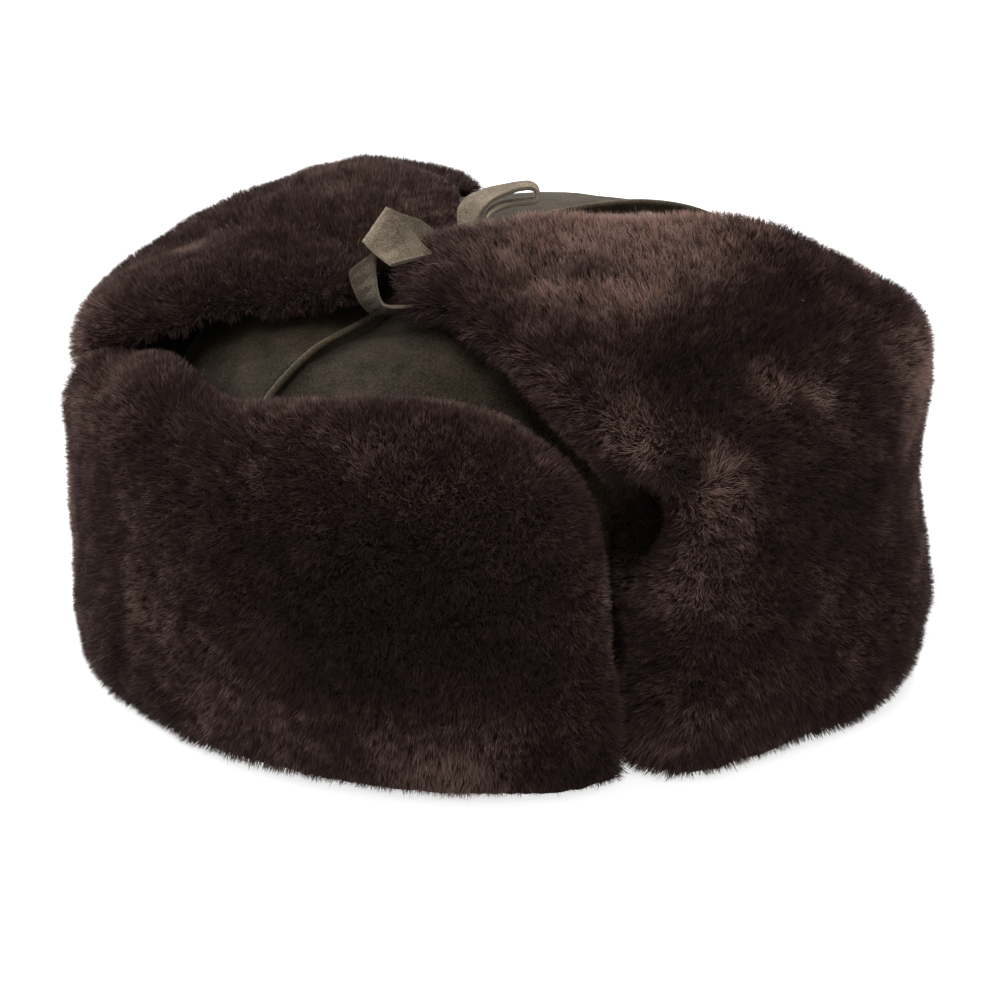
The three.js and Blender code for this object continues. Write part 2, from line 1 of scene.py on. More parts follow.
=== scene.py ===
"""A sheepskin hat with turned-up flaps: fur on padded beds, a suede crown with its welt, and suede ties."""

import math

import bpy
import numpy as np
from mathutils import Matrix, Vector, bvhtree, kdtree


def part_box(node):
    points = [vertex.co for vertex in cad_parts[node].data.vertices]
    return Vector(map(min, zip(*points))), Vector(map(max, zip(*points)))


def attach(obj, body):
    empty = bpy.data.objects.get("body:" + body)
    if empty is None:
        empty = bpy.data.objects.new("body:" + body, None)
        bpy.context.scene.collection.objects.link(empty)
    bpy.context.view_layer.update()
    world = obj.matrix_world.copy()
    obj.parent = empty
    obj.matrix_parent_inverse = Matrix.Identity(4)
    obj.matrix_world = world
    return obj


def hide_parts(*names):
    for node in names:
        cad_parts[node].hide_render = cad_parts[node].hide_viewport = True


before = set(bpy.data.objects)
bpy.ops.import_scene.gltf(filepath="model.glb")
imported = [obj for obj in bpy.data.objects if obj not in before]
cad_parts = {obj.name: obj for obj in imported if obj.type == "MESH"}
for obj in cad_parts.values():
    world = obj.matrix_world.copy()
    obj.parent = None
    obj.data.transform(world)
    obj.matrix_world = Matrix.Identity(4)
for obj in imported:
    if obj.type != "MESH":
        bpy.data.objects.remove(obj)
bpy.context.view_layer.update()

# Lengths are in metres, apart from the places and fades that are given in millimetres from the head shell's
# middle. The front of the hat faces -Y, the wearer's left is +X, and the floor is z = 0
MM = 0.001
CROWN_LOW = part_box("crown_right")[0]
CROWN_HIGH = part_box("crown_left")[1]
SHELL_CENTRE = Vector(((CROWN_LOW.x + CROWN_HIGH.x) / 2, (CROWN_LOW.y + CROWN_HIGH.y) / 2, 0))
SHELL_HALF_WIDTH = (CROWN_HIGH.x - CROWN_LOW.x) / 2
SHELL_HALF_LENGTH = (CROWN_HIGH.y - CROWN_LOW.y) / 2
SHELL_RISE = 47 * MM
SHELL_WALL_TOP = CROWN_HIGH.z - SHELL_RISE
SHELL_HEM = CROWN_LOW.z
LEATHER = 2.5 * MM

# The photograph's view: where the camera stands, and the point it aims at beside the middle of the hat
CAMERA_AZIMUTH = math.radians(45)
CAMERA_ELEVATION = math.radians(22.5)
CAMERA_DISTANCE = 1.2
CAMERA_LENS = 144.9
SENSOR_WIDTH = 36
TARGET_HEIGHT = 60 * MM
AIM_RIGHT = -4.2 * MM
AIM_UP = -22.8 * MM

# The studio: soft lights aimed at the hat, a nearly white floor and a white surrounding
LIGHTS = [
    {"name": "back", "place": (-0.9, 1.0, 1.2), "size": (1.4, 1.0), "watts": 60},
    {"name": "top", "place": (0.3, -0.2, 1.6), "size": (1.0, 1.0), "watts": 17},
    {"name": "left", "place": (-1.35, -0.3, 0.5), "size": (0.8, 0.8), "watts": 34},
]
LIGHT_AIM = Vector((0, 0, 80 * MM))
WHITE = (1, 1, 1, 1)
SURROUNDING_LIGHT = 0.5
FLOOR_HALF = 4.0
FLOOR_COLOR = (0.3, 0.3, 0.3, 1)
FLOOR_GLOW = 0.78

# Fur: the beds lie under the fur's outer form, and a dense pile and a few longer hairs stand on them.
# Where the fur lies on the shell or on the floor, or faces inwards, it fades out between two values
FLAPS = ["front_flap", "ear_flap_left", "ear_flap_right", "neck_flap"]
OFF_SHELL = (1.012, 1.04)
FACES_OUT = (-0.6, -0.2)
FACES_DOWN = (0.6, 0.95)
NEAR_FLOOR = (8 * MM, 2 * MM)
FUR_MIDDLE = (0, 0, 45)
LOWEST = 0.3 * MM
BED_VOXEL = 3 * MM
BED_DEPTH = 2.4 * MM
BED_SHARE = 0.3
PILE_SEED = 100
GUARD_SEED = 110
SEED_STEP = 20

# The pile: how dense, long and wide its hairs are, how far each strays from its neighbours, and how far its
# tip is drawn to the tip of its lock's leader
PILE_PER_MM2 = 4.9
PILE_LENGTH = 3.7 * MM
PILE_WIDTH = 0.34 * MM
PILE_STRAY = 0.42
PILE_TWIST = 0.7
PILE_PER_LOCK = 16
LOCK_PULL = 0.28
ROOT_DEPTH = 0.6 * MM
SHORTEST_SHARE = 0.35
BARE_TO_FURRED = (-0.55, -0.35)

# The guard hairs: their bend and their width at each third of the way
GUARDS_PER_MM2 = 0.12
GUARD_LENGTH = 4.8 * MM
GUARD_WIDTH = 0.2 * MM
GUARD_STRAY = 0.4
GUARD_TWIST = 0.6
GUARD_BENDS = (0.4, 0.9, 1.4)
GUARD_TAPER = (0.8, 1.0, 0.7)
GUARD_STRIP = np.array([[0, 1, 3], [0, 3, 2], [2, 3, 5], [2, 5, 4], [4, 5, 6]])
GUARD_CORNERS = 7

# How far along the hair each corner counts as lying, and the tone of the fur where nothing was rubbed and
# no light or shade is painted
PILE_ALONG = [0.25, 0.25, 1.0]
GUARD_ALONG = [0.0, 0.0, 0.4, 0.4, 0.75, 0.75, 1.0]
PLAIN_TONE = 0.5
DARKEST_TONE = 0.08

# Layers of noise: the size of their lumps, their strength, and their seed
BED_LUMPS = [(14 * MM, 0.5 * MM, 41), (6 * MM, 0.3 * MM, 42)]
LEAN_WAVES = [(16 * MM, 0.22, 11), (5 * MM, 0.26, 23)]
CROWN_WAVES = [(30 * MM, 0.9 * MM, 3), (11 * MM, 0.55 * MM, 4)]

# The pile leans down below this height and up above it, by this much at twice the height
EVEN_HEIGHT = 70 * MM
UPWARD_LEAN = 0.2

# Hollows and swellings of the beds: place from the middle of the head shell, fade and height, in
# millimetres. Where a way is given, that stretch is drawn out along it, not along its outward direction
SHAPING = [
    {"flap": "ear_flap_left", "at": (103, -53, 82), "fade": 4.5, "height": -14},
    {"flap": "ear_flap_left", "at": (99, -51, 75), "fade": 5, "height": -14},
    {"flap": "ear_flap_left", "at": (97, -50, 65), "fade": 4, "height": -8},
    {"flap": "ear_flap_left", "at": (15, -38, 130), "fade": 11, "height": 3.5},
    {"flap": "ear_flap_left", "at": (26, -16, 131), "fade": 12, "height": 3},
    {"flap": "ear_flap_left", "at": (112, -44, 92), "fade": 13, "height": 2.2},
    {"flap": "ear_flap_left", "at": (70, -53, 98), "fade": 14, "height": 4},
    {"flap": "ear_flap_left", "at": (40, -52, 112), "fade": 12, "height": 2.5},
    {"flap": "ear_flap_left", "at": (44, 5, 131), "fade": 26, "height": 2.6},
    {"flap": "ear_flap_left", "at": (62, 41, 131), "fade": 13, "height": 3},
    {"flap": "ear_flap_left", "at": (115, 52, 68), "fade": 15, "height": -5},
    {"flap": "ear_flap_left", "at": (102, 60, 106), "fade": 9, "height": 4.5},
    {"flap": "ear_flap_left", "at": (116, 42, 16), "fade": 20, "height": 5},
    {"flap": "ear_flap_left", "at": (99, -49, 8), "fade": 11, "height": 6},
    {"flap": "ear_flap_left", "at": (125, 10, 12), "fade": 13, "height": 3.5},
    {"flap": "ear_flap_left", "at": (9, -48, 121), "fade": 7, "height": 2.5},
    {"flap": "ear_flap_left", "at": (10, -52, 113), "fade": 7, "height": 4, "way": (0.3, -0.6, -0.7)},
    {"flap": "ear_flap_left", "at": (20, -55, 117), "fade": 6, "height": 7, "way": (0.35, -0.9, 0.1)},
    {"flap": "ear_flap_right", "at": (-57, 44, 105), "fade": 12, "height": 7, "way": (0.65, 0.7, -0.25)},
    {"flap": "ear_flap_right", "at": (-62, 28, 120), "fade": 10, "height": -3.5},
    {"flap": "ear_flap_right", "at": (-78, -63, 122), "fade": 16, "height": -5},
    {"flap": "ear_flap_right", "at": (-86, -92, 86), "fade": 10, "height": 6, "way": (-0.3, -0.4, -0.8)},
    {"flap": "ear_flap_right", "at": (-6, -62, 111), "fade": 10, "height": 5},
    {"flap": "ear_flap_right", "at": (-22, -73, 107), "fade": 11, "height": 3},
    {"flap": "ear_flap_right", "at": (-46, -85, 98), "fade": 12, "height": 2.5},
    {"flap": "front_flap", "at": (88, -78, 97), "fade": 12, "height": 3.5},
    {"flap": "front_flap", "at": (60, -100, 104), "fade": 14, "height": 1.5},
    {"flap": "front_flap", "at": (-70, -101, 82), "fade": 10, "height": 8},
    {"flap": "front_flap", "at": (-80, -101, 55), "fade": 14, "height": 1.5},
    {"flap": "front_flap", "at": (-80, -100, 14), "fade": 14, "height": 1.5},
    {"flap": "front_flap", "at": (-48, -119, 12), "fade": 22, "height": 4.5},
    {"flap": "front_flap", "at": (10, -130, 10), "fade": 26, "height": 3},
    {"flap": "neck_flap", "at": (99, 72, 24), "fade": 15, "height": 4},
]

# Where the pile was brushed or rubbed, and where light and shade are painted into it: place, fade, how much
# paler and longer it is, and its lean. Some rows' paleness is the pile's own brushed tone; the rows marked
# below paint light or shade into it
BRUSHED_AND_PAINTED_LIGHT = [
    # The next two rows: painted light on the near flap's top, where the top and back lights fall
    {"at": (42, -5, 131), "fade": 24, "paleness_and_painted_light": 0.55, "longer": 0.1, "lean": (-0.3, -0.3, 0)},
    {"at": (62, 18, 129), "fade": 14, "paleness_and_painted_light": 0.25, "longer": 0, "lean": (-0.2, -0.2, 0)},
    {"at": (72, -22, 125), "fade": 8, "paleness_and_painted_light": 0.35, "longer": 0.1, "lean": (-0.3, -0.3, 0)},
    {"at": (57, -38, 126), "fade": 8, "paleness_and_painted_light": 0.3, "longer": 0.1, "lean": (-0.3, -0.3, 0)},
    {"at": (54, -22, 129), "fade": 6, "paleness_and_painted_light": -0.2, "longer": 0, "lean": (0, 0, 0)},
    {"at": (18, -42, 126), "fade": 13, "paleness_and_painted_light": 0, "longer": 0.6, "lean": (-0.7, -0.4, 0)},
    {"at": (8, -50, 121), "fade": 8, "paleness_and_painted_light": 0, "longer": 0.3, "lean": (-0.4, -0.3, -0.5)},
    # The next three rows: painted shade along the near flap's lower edge, where it meets the crown and the
    # front flap
    {"at": (24, -53, 112), "fade": 7, "paleness_and_painted_light": -0.2, "longer": 0.2, "lean": (-0.3, -0.4, -0.4)},
    {"at": (40, -55, 107), "fade": 8, "paleness_and_painted_light": -0.25, "longer": 0.3, "lean": (-0.3, -0.4, -0.5)},
    {"at": (56, -57, 101), "fade": 8, "paleness_and_painted_light": -0.2, "longer": 0.3, "lean": (-0.3, -0.4, -0.5)},
    {"at": (78, -61, 112), "fade": 11, "paleness_and_painted_light": 0.12, "longer": 0.3, "lean": (-0.3, -0.4, -0.2)},
    {"at": (100, -57, 106), "fade": 8, "paleness_and_painted_light": 0.2, "longer": 0.3, "lean": (-0.3, -0.3, 0)},
    {"at": (96, -28, 115), "fade": 11, "paleness_and_painted_light": -0.15, "longer": 0, "lean": (0, 0, 0)},
    {"at": (90, 9, 120), "fade": 13, "paleness_and_painted_light": -0.15, "longer": 0, "lean": (0, 0, 0)},
    {"at": (107, -52, 101), "fade": 6, "paleness_and_painted_light": 0.26, "longer": 0.3, "lean": (0, 0, 0)},
    {"at": (119, -38, 93), "fade": 6, "paleness_and_painted_light": 0.3, "longer": 0.3, "lean": (0, 0, 0)},
    {"at": (116, -46, 82), "fade": 7, "paleness_and_painted_light": 0.28, "longer": 0.3, "lean": (0, 0, 0)},
    {"at": (113, -47, 93), "fade": 3, "paleness_and_painted_light": -0.3, "longer": -0.2, "lean": (0, 0, 0)},
    {"at": (117, -46, 68), "fade": 13, "paleness_and_painted_light": 0.26, "longer": 0.3, "lean": (-0.4, -0.4, 0)},
    {"at": (109, -9, 108), "fade": 6, "paleness_and_painted_light": 0.5, "longer": 0.3, "lean": (0.1, -0.5, 0.3)},
    {"at": (115, 5, 101), "fade": 5, "paleness_and_painted_light": 0.4, "longer": 0.3, "lean": (0, -0.3, -0.5)},
    {"at": (118, -42, 40), "fade": 24, "paleness_and_painted_light": 0.06, "longer": 0, "lean": (-0.2, -0.3, 0)},
    {"at": (125, 2, 65), "fade": 20, "paleness_and_painted_light": -0.08, "longer": 0, "lean": (0, 0, -0.2)},
    # Painted light on the near flap's back edge, lit from behind
    {"at": (110, 58, 88), "fade": 15, "paleness_and_painted_light": 0.42, "longer": 0.2, "lean": (0.2, 0.2, 0)},
    # Painted shade in the near flap's notch, whose hairs are also shorter
    {"at": (103, -52, 76), "fade": 8, "paleness_and_painted_light": -0.8, "longer": -0.6, "lean": (0, 0, 0)},
    {"at": (102, -50, 8), "fade": 11, "paleness_and_painted_light": 0, "longer": 0.7, "lean": (-0.4, -0.5, -0.9)},
    {"at": (120, -20, 8), "fade": 14, "paleness_and_painted_light": 0, "longer": 0.3, "lean": (0, 0, -0.8)},
    {"at": (34, -116, 101), "fade": 15, "paleness_and_painted_light": 0.12, "longer": 0.1, "lean": (0, 0, 0)},
    {"at": (70, -102, 100), "fade": 14, "paleness_and_painted_light": 0.2, "longer": 0.2, "lean": (0.2, -0.1, 0.3)},
    {"at": (62, -119, 50), "fade": 27, "paleness_and_painted_light": -0.2, "longer": -0.1, "lean": (0, 0, 0)},
    # The next two rows: paler along the front flap's bottom, partly the hairs' downward lie and partly
    # painted light from the floor
    {"at": (78, -105, 12), "fade": 15, "paleness_and_painted_light": 0.32, "longer": 0.5, "lean": (0.1, -0.1, -0.9)},
    {"at": (30, -124, 14), "fade": 18, "paleness_and_painted_light": 0.18, "longer": 0.3, "lean": (0, 0, -0.9)},
    {"at": (-8, -132, 43), "fade": 10, "paleness_and_painted_light": 0.2, "longer": 0.1, "lean": (0.1, 0, -0.3)},
    # The next two rows: painted light down the front flap's left side, lit from the left
    {"at": (-85, -95, 60), "fade": 14, "paleness_and_painted_light": 0.6, "longer": 0.1, "lean": (-0.2, 0, 0.1)},
    {"at": (-83, -97, 25), "fade": 13, "paleness_and_painted_light": 0.5, "longer": 0.1, "lean": (-0.2, 0, -0.2)},
    {"at": (-52, -113, 90), "fade": 13, "paleness_and_painted_light": 0.15, "longer": 0.2, "lean": (-0.2, -0.2, 0.3)},
    {"at": (-85, -94, 84), "fade": 8, "paleness_and_painted_light": 0, "longer": 0.5, "lean": (-0.2, -0.2, -0.8)},
    # Painted light on the far flap's ridge, lit from behind
    {"at": (-54, -7, 128), "fade": 20, "paleness_and_painted_light": 0.06, "longer": 0.1, "lean": (-0.2, 0.2, 0.2)},
    {"at": (-70, -60, 118), "fade": 11, "paleness_and_painted_light": 0.1, "longer": 0.1, "lean": (-0.2, -0.2, 0.2)},
    # Painted light on the top-left corner, lit from the left
    {"at": (-82, -92, 104), "fade": 15, "paleness_and_painted_light": 0.12, "longer": 0.1, "lean": (-0.2, -0.2, 0.2)},
    {"at": (-53, 46, 104), "fade": 8, "paleness_and_painted_light": 0.15, "longer": 0.9, "lean": (0.7, 0.7, -0.1)},
]

# Where the pile curls round a middle: place, fade and how strongly it turns
CURLS = [
    {"at": (113, -47, 93), "fade": 8, "turn": 0.8},
    {"at": (121, -33, 84), "fade": 4, "turn": -0.7},
    {"at": (102, -55, 100), "fade": 4, "turn": -0.7},
    {"at": (110, -8, 107), "fade": 4, "turn": 0.7},
]

# Colours of the fur from the root to the tip, and of the suedes: their darker and paler clouds, the size of
# their grain, and the colour where they were cut
FUR_ROOT = (0.004, 0.0022, 0.002)
FUR_BODY = (0.048, 0.0236, 0.0205)
FUR_TIP = (0.5, 0.33, 0.272)
FUR_SHEEN = (0.6, 0.45, 0.4)
SUEDE_SHEEN = (0.6, 0.55, 0.45)
CROWN_SUEDE = {"dark": (0.006, 0.0044, 0.0028), "light": (0.042, 0.0307, 0.02), "grain": 0.7 * MM}
WELT_SUEDE = {"dark": (0.026, 0.02, 0.013), "light": (0.085, 0.066, 0.044), "grain": 0.7 * MM}
TIE_SUEDE = {
    "dark": (0.05, 0.04, 0.028),
    "light": (0.185, 0.147, 0.104),
    "grain": 0.45 * MM,
    "rim": (0.19, 0.155, 0.115),
}
# The left tie's suede: the tie suede painted darker, as painted shade where the tie lies between the flaps
PAINTED_SHADE_TIE_SUEDE = {
    "dark": (0.022, 0.017, 0.012),
    "light": (0.095, 0.072, 0.052),
    "grain": 0.45 * MM,
    "rim": (0.12, 0.095, 0.07),
}

# The crown: half the gap at the seam, the dent in front of the bow, and how finely each half is drawn
SEAM_HALF = 0.8 * MM
DENT = {"at": (0, -57, 115), "fade": 15, "depth": 6 * MM}
CROWN_COLUMNS = 60
CROWN_ROWS = 30
WALL_ROWS = 14
CROWN_WELD = 0.3 * MM
CROWN_DRAWN_IN = 0.8 * MM
PUCKER = {"size": 8 * MM, "height": 0.5 * MM, "reach": 6 * MM, "seed": 6}
GROOVE = {"depth": 0.7 * MM, "reach": 2.6 * MM}
DOME_EDGE = (2 * MM, 20 * MM)

# The welt: the head's half width and height, half the stem's width, and the head's arc in degrees
WELT_HEAD = 1.1 * MM
WELT_HEIGHT = 1.0 * MM
WELT_STEM = 0.4 * MM
WELT_STEPS = 240
WELT_ARC = 10
WELT_ARC_FROM = -50
WELT_ARC_SWEEP = 280
WELT_LIFT = 0.8
WELT_WANDER = {"size": 12 * MM, "width": 0.35 * MM, "seed": 8}

# The ties: their rounded edge, how thick they look from a cut edge, and how uneven their faces are
TIE_WELD = 0.05 * MM
TIE_EDGE = 0.25 * MM
TIE_SHARP = math.radians(50)
CUT_EDGE = (1.6 * MM, 3 * MM)
TIE_UNEVEN = {"size": 2.2 * MM, "height": 0.08 * MM, "seed": 31}


def hat_point(place):
    """A point given in millimetres from the middle of the head shell, on the floor"""
    return np.array(SHELL_CENTRE) + np.array(place) * MM


# Lattice noise


def lattice(cells, seed):
    """A repeatable number from 0 to 1 for each row of whole numbers"""
    blend = cells.astype(np.int64) @ np.array([73856093, 19349663, 83492791]) + seed * 2654435761
    blend = (blend ^ (blend >> 13)) * 1274126177 & 0xFFFFFFFF
    blend = (blend ^ (blend >> 16)) & 0xFFFFFF
    return blend / 0xFFFFFF


def noise(points, scale, seed):
    """Smooth noise from -1 to 1 at each point, with lumps about as large as scale"""
    spot = points / scale
    cell = np.floor(spot).astype(np.int64)
    t = spot - cell
    t = t * t * (3 - 2 * t)
    total = np.zeros(len(points))
    for corner in range(8):
        step = np.array([corner & 1, corner >> 1 & 1, corner >> 2 & 1])
        weight = np.prod(np.where(step, t, 1 - t), axis=1)
        total += weight * lattice(cell + step, seed)
    return total * 2 - 1


def noise_vectors(points, scale, seed):
    return np.stack([noise(points, scale, seed + axis) for axis in range(3)], axis=1)


def layered(pattern, points, layers):
    """The sum of some layers of noise, each given as the size of its lumps, its strength and its seed"""
    return sum(pattern(points, size, seed) * strength for size, strength, seed in layers)


def unit(vectors):
    return vectors / np.maximum(np.linalg.norm(vectors, axis=-1, keepdims=True), 1e-12)


def smoothstep(low, high, value):
    t = np.clip((value - low) / (high - low), 0, 1)
    return t * t * (3 - 2 * t)


def hump(points, place, fade):
    """1 at a place given in millimetres, falling away over the distance fade"""
    distance = np.linalg.norm(points - hat_point(place), axis=1)
    return np.exp(-0.5 * (distance / (fade * MM)) ** 2)


# Meshes


def link(piece):
    bpy.context.scene.collection.objects.link(piece)
    return piece


def make_object(name, vertices, faces, material, smooth=True):
    mesh = bpy.data.meshes.new(name)
    mesh.from_pydata([tuple(v) for v in vertices], [], [tuple(f) for f in faces])
    mesh.materials.append(material)
    if smooth:
        mesh.shade_smooth()
    return link(bpy.data.objects.new(name, mesh))


def copy_of_solid(node, name, material):
    piece = link(bpy.data.objects.new(name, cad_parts[node].data.copy()))
    piece.data.materials.clear()
    piece.data.materials.append(material)
    return piece


def apply_modifiers(piece):
    """Puts the modified mesh in the piece's place and drops the modifiers"""
    bpy.context.view_layer.update()
    graph = bpy.context.evaluated_depsgraph_get()
    mesh = bpy.data.meshes.new_from_object(piece.evaluated_get(graph))
    old = piece.data
    piece.modifiers.clear()
    piece.data = mesh
    bpy.data.meshes.remove(old)


def read_vectors(collection, attribute):
    values = np.zeros(len(collection) * 3, np.float32)
    collection.foreach_get(attribute, values)
    return values.reshape(-1, 3).astype(float)


def coordinates(mesh):
    return read_vectors(mesh.vertices, "co")


def normals(mesh):
    return read_vectors(mesh.vertex_normals, "vector")


def move_vertices(mesh, positions):
    mesh.vertices.foreach_set("co", positions.astype(np.float32).ravel())
    mesh.update()


def soup(name, vertices, triangles, values, material):
    """A mesh from arrays of vertices and triangles, with named numbers at its vertices"""
    mesh = bpy.data.meshes.new(name)
    mesh.vertices.add(len(vertices))
    mesh.vertices.foreach_set("co", vertices.astype(np.float32).ravel())
    mesh.loops.add(triangles.size)
    mesh.loops.foreach_set("vertex_index", triangles.astype(np.int32).ravel())
    mesh.polygons.add(len(triangles))
    mesh.polygons.foreach_set("loop_start", (np.arange(len(triangles)) * 3).astype(np.int32))
    mesh.update(calc_edges=True)
    for attribute, numbers in values.items():
        layer = mesh.attributes.new(attribute, "FLOAT", "POINT")
        layer.data.foreach_set("value", numbers.astype(np.float32))
    mesh.materials.append(material)
    return link(bpy.data.objects.new(name, mesh))


# Materials


def new_material(name):
    material = bpy.data.materials.new(name)
    material.use_nodes = True
    tree = material.node_tree
    return material, tree, tree.nodes["Principled BSDF"]


def noise_texture(tree, size, detail=4.0, rough=0.55):
    """Noise whose lumps are about size metres across"""
    place = tree.nodes.new("ShaderNodeTexCoord")
    texture = tree.nodes.new("ShaderNodeTexNoise")
    texture.inputs["Scale"].default_value = 1 / size
    texture.inputs["Detail"].default_value = detail
    texture.inputs["Roughness"].default_value = rough
    tree.links.new(place.outputs["Object"], texture.inputs["Vector"])
    return texture.outputs["Fac"]


def ramp(tree, value, stops):
    node = tree.nodes.new("ShaderNodeValToRGB")
    while len(node.color_ramp.elements) < len(stops):
        node.color_ramp.elements.new(0.5)
    for element, (place, color) in zip(node.color_ramp.elements, stops):
        element.position = place
        element.color = (*color, 1)
    tree.links.new(value, node.inputs["Fac"])
    return node.outputs["Color"]


def attribute(tree, name):
    node = tree.nodes.new("ShaderNodeAttribute")
    node.attribute_name = name
    return node.outputs["Fac"]


def arithmetic(tree, operation, a, b):
    node = tree.nodes.new("ShaderNodeMath")
    node.operation = operation
    for index, value in enumerate((a, b)):
        if isinstance(value, (int, float)):
            node.inputs[index].default_value = value
        else:
            tree.links.new(value, node.inputs[index])
    return node.outputs["Value"]


def bump(tree, shader, height, strength, distance):
    node = tree.nodes.new("ShaderNodeBump")
    node.inputs["Strength"].default_value = strength
    node.inputs["Distance"].default_value = distance
    tree.links.new(height, node.inputs["Height"])
    tree.links.new(node.outputs["Normal"], shader.inputs["Normal"])


def set_finish(shader, roughness, specular, sheen, sheen_color):
    shader.inputs["Roughness"].default_value = roughness
    shader.inputs["Specular IOR Level"].default_value = specular
    shader.inputs["Sheen Weight"].default_value = sheen
    shader.inputs["Sheen Roughness"].default_value = 0.5
    shader.inputs["Sheen Tint"].default_value = (*sheen_color, 1)


def fur_material():
    """Hairs: nearly black at the root, dark brown along, paler at the tip, uneven from lock to lock, with
    painted light and painted shade in their tone
    """
    material, tree, shader = new_material("fur_hairs")
    lifted = arithmetic(tree, "MULTIPLY", attribute(tree, "along"), attribute(tree, "tone"))
    color = ramp(tree, lifted, [(0.0, FUR_ROOT), (0.44, FUR_BODY), (1.0, FUR_TIP)])
    tree.links.new(color, shader.inputs["Base Color"])
    set_finish(shader, roughness=0.65, specular=0.2, sheen=0.1, sheen_color=FUR_SHEEN)
    return material


def bed_material():
    """The skin and the dense wool under the hairs, with painted light and painted shade in its tone"""
    material, tree, shader = new_material("fur_bed")
    wool = 1.2 * MM
    fine = noise_texture(tree, wool, detail=3)
    shade = arithmetic(tree, "MULTIPLY", fine, attribute(tree, "tone"))
    color = ramp(tree, shade, [(0.15, FUR_ROOT), (0.5, FUR_BODY)])
    tree.links.new(color, shader.inputs["Base Color"])
    set_finish(shader, roughness=0.95, specular=0.1, sheen=0.0, sheen_color=(1, 1, 1))
    bump(tree, shader, fine, strength=0.8, distance=wool)
    return material


def suede_material(name, dark, light, grain, rim=None):
    """Suede: a fine nap, cloudy where it was stroked, with the rim's colour, if given, where it was cut"""
    material, tree, shader = new_material(name)
    clouds = noise_texture(tree, 11 * MM, detail=8, rough=0.72)
    nap = noise_texture(tree, grain, detail=3)
    shade = arithmetic(tree, "MULTIPLY", arithmetic(tree, "ADD", clouds, nap), 0.5)
    color = ramp(tree, shade, [(0.38, dark), (0.62, light)])
    if rim:
        cut = tree.nodes.new("ShaderNodeMix")
        cut.data_type = "RGBA"
        tree.links.new(attribute(tree, "rim"), cut.inputs["Factor"])
        tree.links.new(color, cut.inputs["A"])
        cut.inputs["B"].default_value = (*rim, 1)
        color = cut.outputs["Result"]
    tree.links.new(color, shader.inputs["Base Color"])
    set_finish(shader, roughness=0.95, specular=0.1, sheen=0.03, sheen_color=SUEDE_SHEEN)
    bump(tree, shader, nap, strength=0.8, distance=0.5 * MM)
    return material


# Fur beds


def shell_share(points):
    """How far out from the head shell's middle a point is: 1 on the shell's outer face"""
    x = (points[:, 0] - SHELL_CENTRE.x) / SHELL_HALF_WIDTH
    y = (points[:, 1] - SHELL_CENTRE.y) / SHELL_HALF_LENGTH
    z = np.maximum(points[:, 2] - SHELL_WALL_TOP, 0) / SHELL_RISE
    return np.sqrt(x * x + y * y + z * z)


def furriness(points, facing):
    """1 where a flap's surface shows its fur, 0 where it lies on the shell or on the floor"""
    off_shell = smoothstep(*OFF_SHELL, shell_share(points))
    outwards = unit(points - hat_point(FUR_MIDDLE))
    faces_out = smoothstep(*FACES_OUT, (facing * outwards).sum(1))
    on_floor = smoothstep(*FACES_DOWN, -facing[:, 2]) * smoothstep(*NEAR_FLOOR, points[:, 2])
    return off_shell * faces_out * (1 - on_floor)


def thickness_at(mesh, points, facing, most=30 * MM):
    """How thick the piece is under each vertex"""
    tree = bvhtree.BVHTree.FromPolygons(points.tolist(), [tuple(p.vertices) for p in mesh.polygons])
    thickness = np.full(len(points), most)
    start = 0.05 * MM
    for index, (point, normal) in enumerate(zip(points, facing)):
        inwards = Vector(-normal)
        distance = tree.ray_cast(Vector(point) + inwards * start, inwards, most)[3]
        if distance is not None:
            thickness[index] = distance
    return thickness


def shaped(node, points, shown):
    """How far the flap's swellings and hollows move each point: outwards, and along ways of their own"""
    height = np.zeros(len(points))
    drawn = np.zeros_like(points)
    for shaping in SHAPING:
        if shaping["flap"] != node:
            continue
        swelling = hump(points, shaping["at"], shaping["fade"]) * shaping["height"] * MM * shown
        if "way" in shaping:
            drawn += swelling[:, None] * unit(np.array(shaping["way"]))
        else:
            height += swelling
    return height, drawn


def fur_bed(node, material):
    """The skin of a flap: its solid, smoothed, shaped and drawn in under the hairs"""
    piece = copy_of_solid(node, node + "_bed", material)
    remesh = piece.modifiers.new("even", "REMESH")
    remesh.mode = "VOXEL"
    remesh.voxel_size = BED_VOXEL
    smooth = piece.modifiers.new("soft", "SMOOTH")
    smooth.factor = 0.5
    smooth.iterations = 4
    apply_modifiers(piece)
    mesh = piece.data
    points = coordinates(mesh)
    facing = normals(mesh)
    shown = furriness(points, facing)
    depth = np.minimum(BED_DEPTH, thickness_at(mesh, points, facing) * BED_SHARE) * shown
    height, drawn = shaped(node, points, shown)
    height += layered(noise, points, BED_LUMPS) * shown - depth
    points = points + facing * height[:, None] + drawn
    points[:, 2] = np.maximum(points[:, 2], LOWEST)
    move_vertices(mesh, points)
    mesh.shade_smooth()
    # The bed's tone takes the table's paleness: painted shade darkens the bed in the notch, and painted
    # light lightens it where tops and edges are lit
    paleness_and_painted_light = brushing_and_painted_light(points, facing)[0]
    tone = mesh.attributes.new("tone", "FLOAT", "POINT")
    tone.data.foreach_set("value", np.clip(PLAIN_TONE + paleness_and_painted_light, 0, 1).astype(np.float32))
    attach(piece, "root")
    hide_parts(node)
    return {"mesh": mesh, "depth": depth, "shown": shown}


# Hairs


